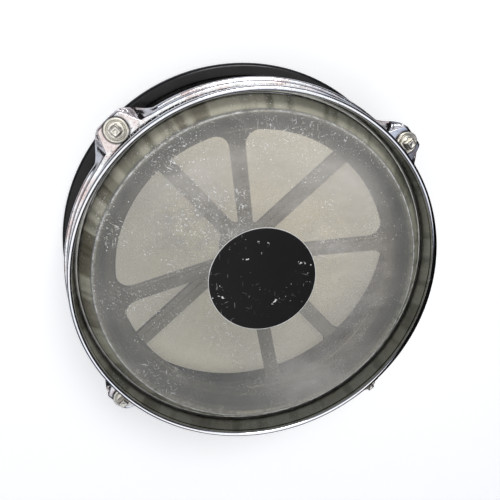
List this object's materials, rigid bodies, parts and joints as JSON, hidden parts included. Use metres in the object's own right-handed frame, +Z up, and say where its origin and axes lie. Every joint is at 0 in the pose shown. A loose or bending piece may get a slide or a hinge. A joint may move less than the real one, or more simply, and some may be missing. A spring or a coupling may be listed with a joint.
{
  "type": "tom tom drum",
  "caption": "Shell-less tom tom drum: clear head with a black centre dot under a chrome hoop, key rods to a cast lower frame, tuned by turning it on a central screw.",
  "frame": {"origin": "on the drum's axis, in the plane of the lower frame's underside, which the drum rests on", "axes": "+Z up along the drum's axis, from the lower frame to the head; the rods stand on the diagonals between X and Y"},
  "size_m": [0.296, 0.296, 0.0905],
  "materials": {
    "hoop_chrome": "mirror chrome on pressed steel, lightly pitted",
    "clear_film": "clear polyester, hazy and scuffed from playing",
    "flesh_hoop_aluminium": "satin, dull",
    "black_film": "black polyester with pale specks of wear",
    "grey_casting": "dark grey painted die casting",
    "black_paint": "gloss black painted die casting",
    "spindle_steel": "machined, zinc plated",
    "bush_brass": "machined",
    "nylon": "natural nylon",
    "hub_steel": "zinc plated",
    "rod_nickel": "nickel plated, dulled",
    "nut_steel": "zinc plated"
  },
  "bodies": {
    "drum": {"lower_frame": "black_paint", "hub_bush": "bush_brass", "rod_nut_1": "nut_steel", "rod_nut_2": "nut_steel", "rod_nut_3": "nut_steel", "rod_nut_4": "nut_steel", "counterhoop": "hoop_chrome", "head_film": "clear_film", "flesh_hoop": "flesh_hoop_aluminium", "centre_dot": "black_film"},
    "bearing_frame": {"upper_frame": "grey_casting", "thrust_washer": "nylon", "top_washer": "hub_steel"},
    "spindle": {"spindle": "spindle_steel", "retaining_nut": "hub_steel"},
    "rod_1_washer": {"rod_washer_1": "rod_nickel"},
    "rod_1": {"tension_rod_1": "rod_nickel"},
    "rod_2_washer": {"rod_washer_2": "rod_nickel"},
    "rod_2": {"tension_rod_2": "rod_nickel"},
    "rod_3_washer": {"rod_washer_3": "rod_nickel"},
    "rod_3": {"tension_rod_3": "rod_nickel"},
    "rod_4_washer": {"rod_washer_4": "rod_nickel"},
    "rod_4": {"tension_rod_4": "rod_nickel"}
  },
  "joints": [
    {"name": "tension_travel", "type": "slide", "parent": "drum", "child": "bearing_frame", "axis": [0, 0, 1], "range_m": [-0.00381, 0]},
    {"name": "tuning_turn", "type": "hinge", "parent": "bearing_frame", "child": "spindle", "pos_m": [0, 0, 0.036], "axis": [0, 0, 1], "range_deg": [-540, 0]},
    {"name": "rod_1_rise", "type": "slide", "parent": "drum", "child": "rod_1_washer", "axis": [0, 0, 1], "range_m": [0, 0.00317]},
    {"name": "rod_1_turn", "type": "hinge", "parent": "rod_1_washer", "child": "rod_1", "pos_m": [0.10013, 0.10013, 0.075], "axis": [0, 0, 1], "range_deg": [0, 1080]},
    {"name": "rod_2_rise", "type": "slide", "parent": "drum", "child": "rod_2_washer", "axis": [0, 0, 1], "range_m": [0, 0.00317]},
    {"name": "rod_2_turn", "type": "hinge", "parent": "rod_2_washer", "child": "rod_2", "pos_m": [-0.10013, 0.10013, 0.075], "axis": [0, 0, 1], "range_deg": [0, 1080]},
    {"name": "rod_3_rise", "type": "slide", "parent": "drum", "child": "rod_3_washer", "axis": [0, 0, 1], "range_m": [0, 0.00317]},
    {"name": "rod_3_turn", "type": "hinge", "parent": "rod_3_washer", "child": "rod_3", "pos_m": [-0.10013, -0.10013, 0.075], "axis": [0, 0, 1], "range_deg": [0, 1080]},
    {"name": "rod_4_rise", "type": "slide", "parent": "drum", "child": "rod_4_washer", "axis": [0, 0, 1], "range_m": [0, 0.00317]},
    {"name": "rod_4_turn", "type": "hinge", "parent": "rod_4_washer", "child": "rod_4", "pos_m": [0.10013, -0.10013, 0.075], "axis": [0, 0, 1], "range_deg": [0, 1080]}
  ],
  "couplings": [
    {"joint": "tuning_turn", "follows": "tension_travel", "rad_per_m": 2473.7},
    {"joint": "rod_1_turn", "follows": "rod_1_rise", "rad_per_m": 5937.1},
    {"joint": "rod_2_turn", "follows": "rod_2_rise", "rad_per_m": 5937.1},
    {"joint": "rod_3_turn", "follows": "rod_3_rise", "rad_per_m": 5937.1},
    {"joint": "rod_4_turn", "follows": "rod_4_rise", "rad_per_m": 5937.1}
  ]
}
